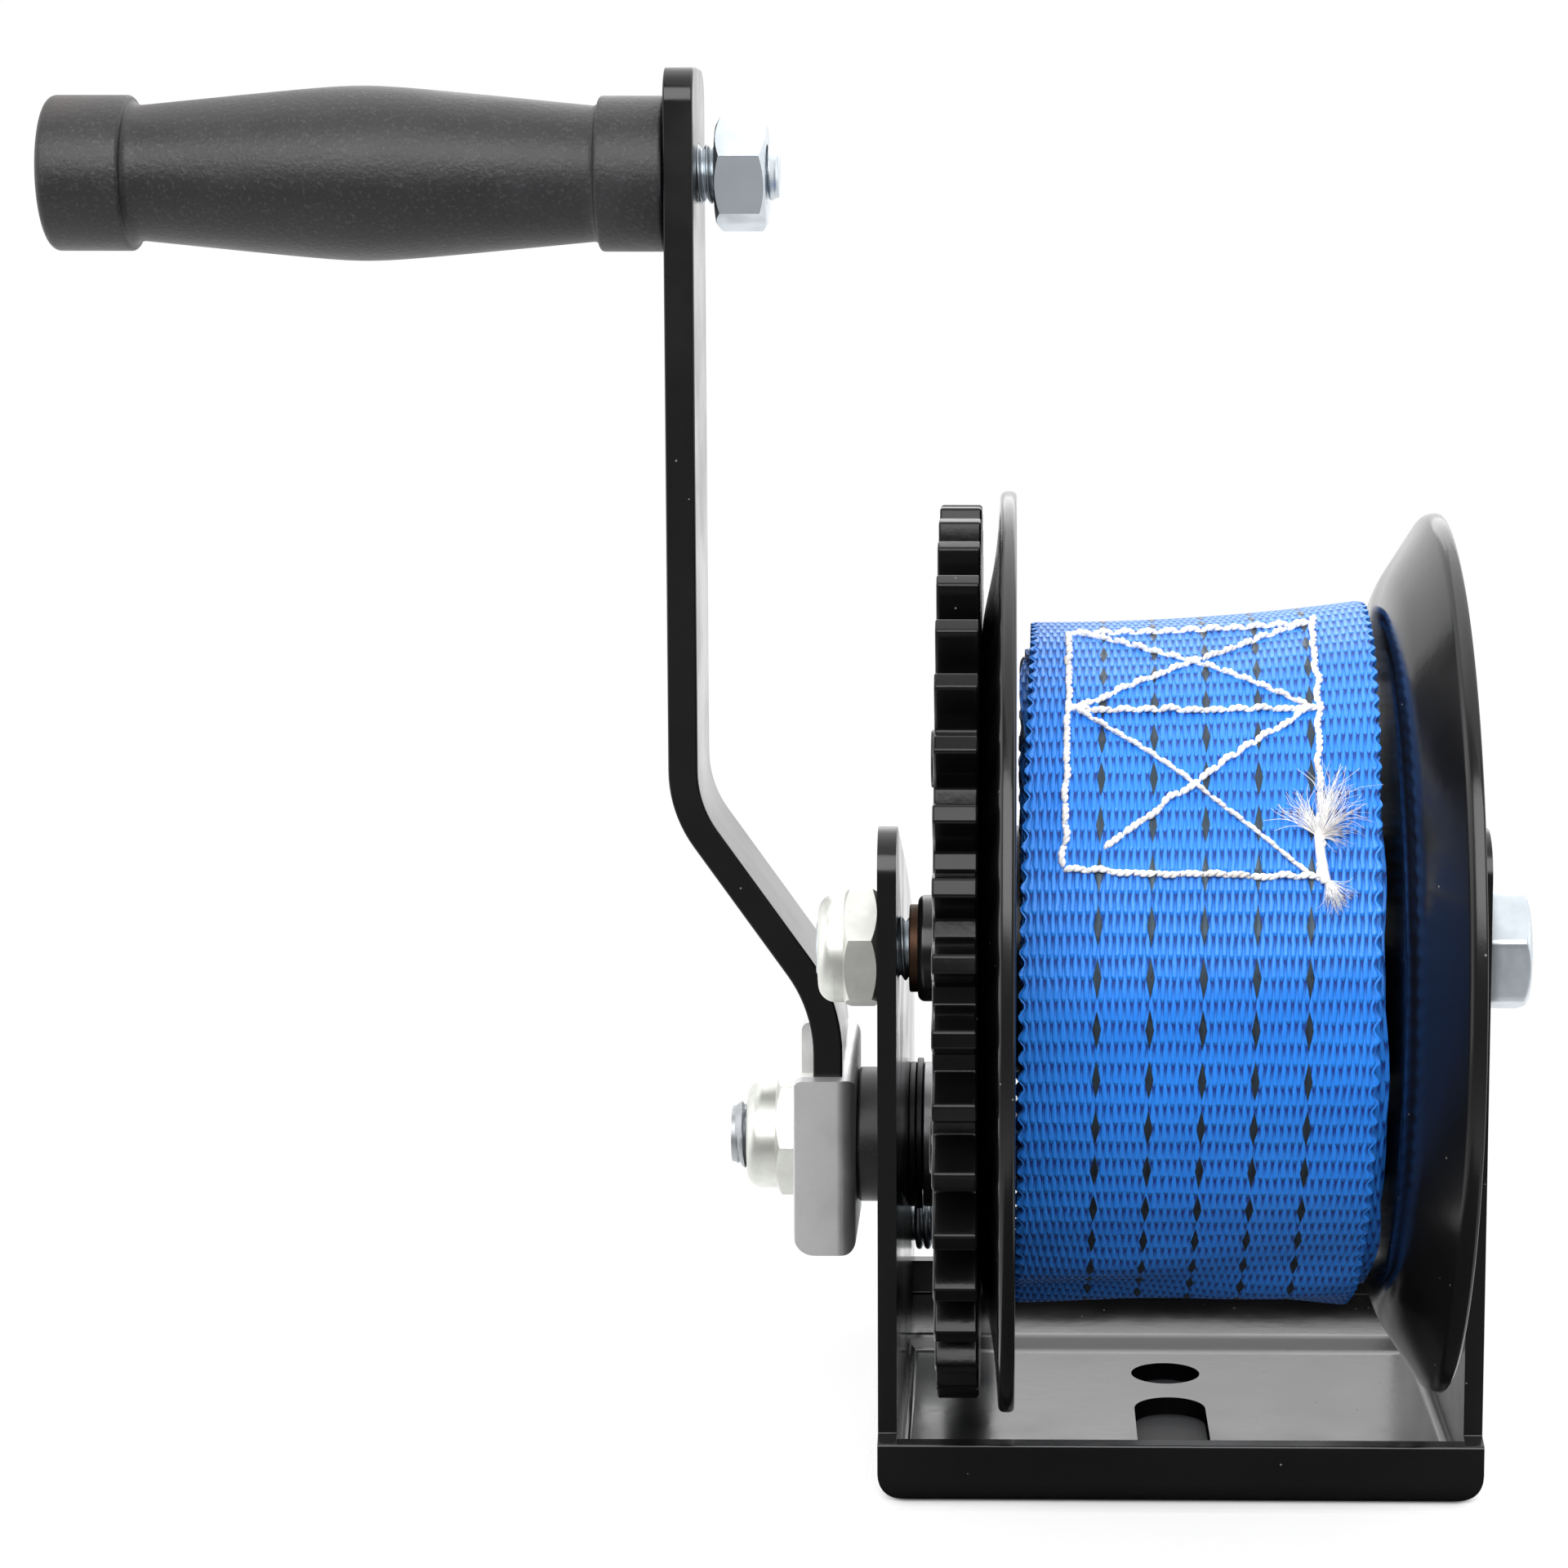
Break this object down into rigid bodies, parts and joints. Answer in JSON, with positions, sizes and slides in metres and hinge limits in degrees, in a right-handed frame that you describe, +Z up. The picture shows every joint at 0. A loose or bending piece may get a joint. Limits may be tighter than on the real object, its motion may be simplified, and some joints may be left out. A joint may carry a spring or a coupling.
{
  "type": "boat trailer winch",
  "caption": "Hand winch: a strap drum with a spur gear in a pressed steel frame, driven through a pinion by a cranked arm with a turning grip, with a pawl.",
  "frame": {"origin": "centre of the round mounting hole, on the underside of the base", "axes": "+Z up through the mounting hole, +X along the axles away from the crank, +Y from the strap side to the rear"},
  "size_m": [0.2409, 0.1765, 0.2208],
  "materials": {
    "black_coat": "gloss black powder coat",
    "zinc": "bright zinc plate",
    "bare_steel": "machined, oiled",
    "spring_steel": "black oxide",
    "black_nylon": "moulded nylon",
    "nut_nylon": "natural nylon",
    "bronze": "sintered, oiled",
    "blue_webbing": "woven polyester with black tracer yarns",
    "grip_plastic": "fine moulded grain"
  },
  "bodies": {
    "frame": {"frame": "black_coat", "axle_bolt": "zinc", "axle_nut": "zinc", "axle_nut_insert": "nut_nylon", "left_shaft_bushing": "black_nylon", "right_shaft_bushing": "black_nylon", "pawl_pivot_pin": "zinc", "pawl_spring": "zinc"},
    "drum": {"drum_gear": "black_coat", "left_flange": "black_coat", "right_flange": "black_coat", "drum_hub": "black_coat", "axle_tube": "black_coat", "left_bronze_bushing": "bronze", "right_bronze_bushing": "bronze", "gear_rivets": "black_coat", "strap_keeper_pin": "bare_steel", "strap_roll": "blue_webbing", "strap_sewn_end": "blue_webbing"},
    "drive": {"drive_shaft": "bare_steel", "pinion": "bare_steel", "left_shaft_clip": "spring_steel", "right_shaft_clip": "spring_steel", "spacer_collar": "black_nylon", "crank_bracket": "zinc", "crank_arm": "black_coat", "crank_nut": "zinc", "crank_nut_insert": "nut_nylon", "handle_bolt": "zinc", "handle_washer": "zinc", "handle_nut": "zinc"},
    "grip": {"grip": "grip_plastic"},
    "pawl": {"pawl": "black_coat"}
  },
  "joints": [
    {"name": "drum_spin", "type": "hinge", "parent": "frame", "child": "drum", "pos_m": [0, -0.045, 0.0844], "axis": [1, 0, 0], "continuous": true},
    {"name": "crank_spin", "type": "hinge", "parent": "frame", "child": "drive", "pos_m": [0, 0.0238, 0.0382], "axis": [1, 0, 0], "continuous": true},
    {"name": "grip_spin", "type": "hinge", "parent": "drive", "child": "grip", "pos_m": [-0.13, 0.0238, 0.2032], "axis": [1, 0, 0], "continuous": true},
    {"name": "pawl_swing", "type": "hinge", "parent": "frame", "child": "pawl", "pos_m": [-0.0335, 0.043, 0.0175], "axis": [-1, 0, 0], "range_deg": [0, 11]}
  ],
  "couplings": [
    {"joint": "crank_spin", "follows": "drum_spin", "ratio": -4.1}
  ]
}
